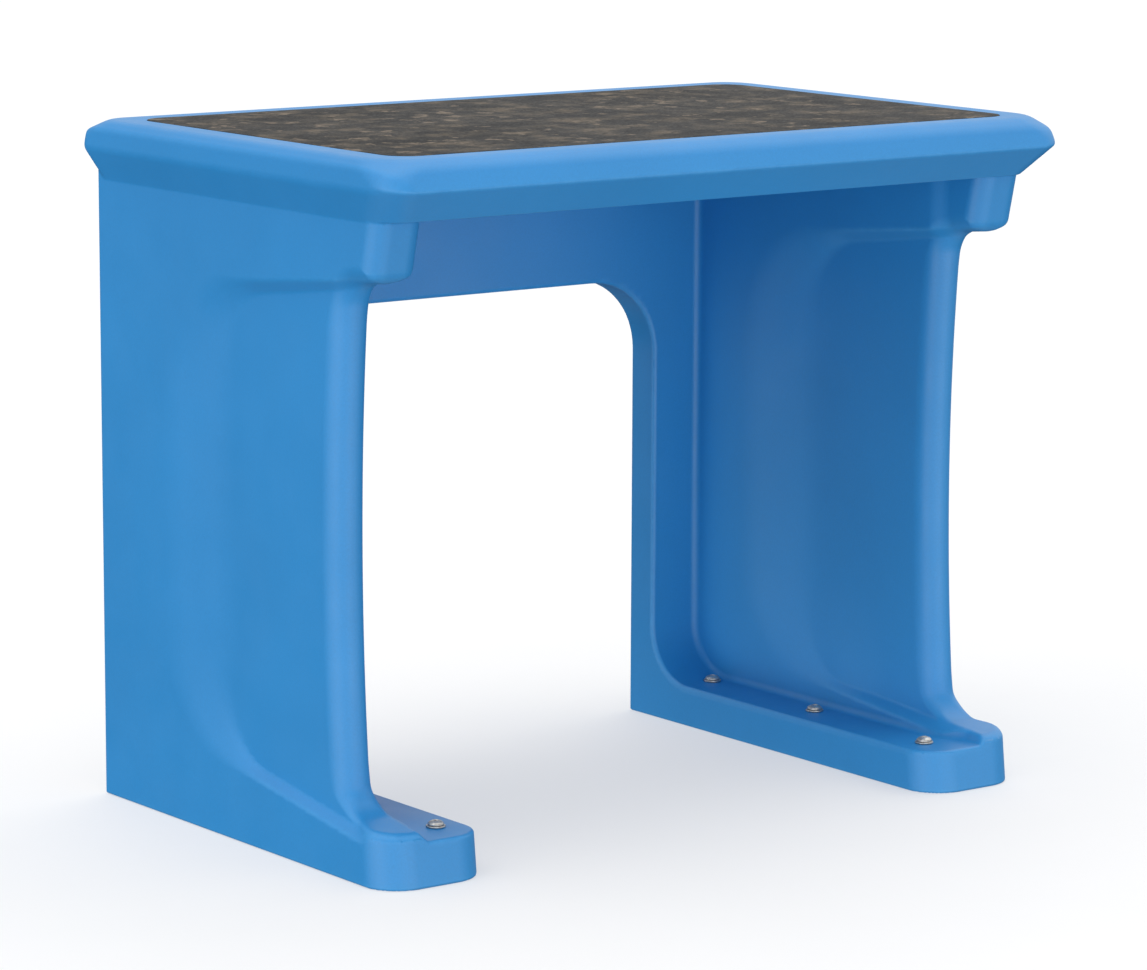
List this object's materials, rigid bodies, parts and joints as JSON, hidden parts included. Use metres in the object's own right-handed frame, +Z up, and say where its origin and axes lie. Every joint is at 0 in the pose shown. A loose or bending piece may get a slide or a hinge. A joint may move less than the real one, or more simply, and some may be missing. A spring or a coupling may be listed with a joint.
{
  "type": "desk",
  "caption": "One-piece moulded plastic desk with a bevelled slab top, laminate inlay, scooped panel legs, arched back frame and bolt-down feet.",
  "frame": {"origin": "on the floor plane, midway between the outermost points of the desktop slab", "axes": "+Z up, +X across the desk to the sitter's right, +Y away from the sitter towards the back frame; the sitter is at -Y"},
  "size_m": [0.914, 0.61, 0.7623],
  "materials": {
    "blue_polyethylene": "satin moulded polyethylene with a very fine grain",
    "granite_laminate": "satin decorative laminate, dark grey-brown with soft tan mottling",
    "backing_board": "unfinished pressed board",
    "stainless_steel": "plain stainless steel",
    "zinc_plated_steel": "zinc plated tube"
  },
  "bodies": {
    "root": {"desk_shell": "blue_polyethylene", "laminate_top": "granite_laminate", "backing_board": "backing_board", "left_rear_floor_screw": "stainless_steel", "left_middle_floor_screw": "stainless_steel", "left_front_floor_screw": "stainless_steel", "right_rear_floor_screw": "stainless_steel", "right_middle_floor_screw": "stainless_steel", "right_front_floor_screw": "stainless_steel", "left_rear_washer": "stainless_steel", "left_middle_washer": "stainless_steel", "left_front_washer": "stainless_steel", "right_rear_washer": "stainless_steel", "right_middle_washer": "stainless_steel", "right_front_washer": "stainless_steel", "left_rear_sleeve": "zinc_plated_steel", "left_middle_sleeve": "zinc_plated_steel", "left_front_sleeve": "zinc_plated_steel", "right_rear_sleeve": "zinc_plated_steel", "right_middle_sleeve": "zinc_plated_steel", "right_front_sleeve": "zinc_plated_steel"}
  },
  "joints": []
}
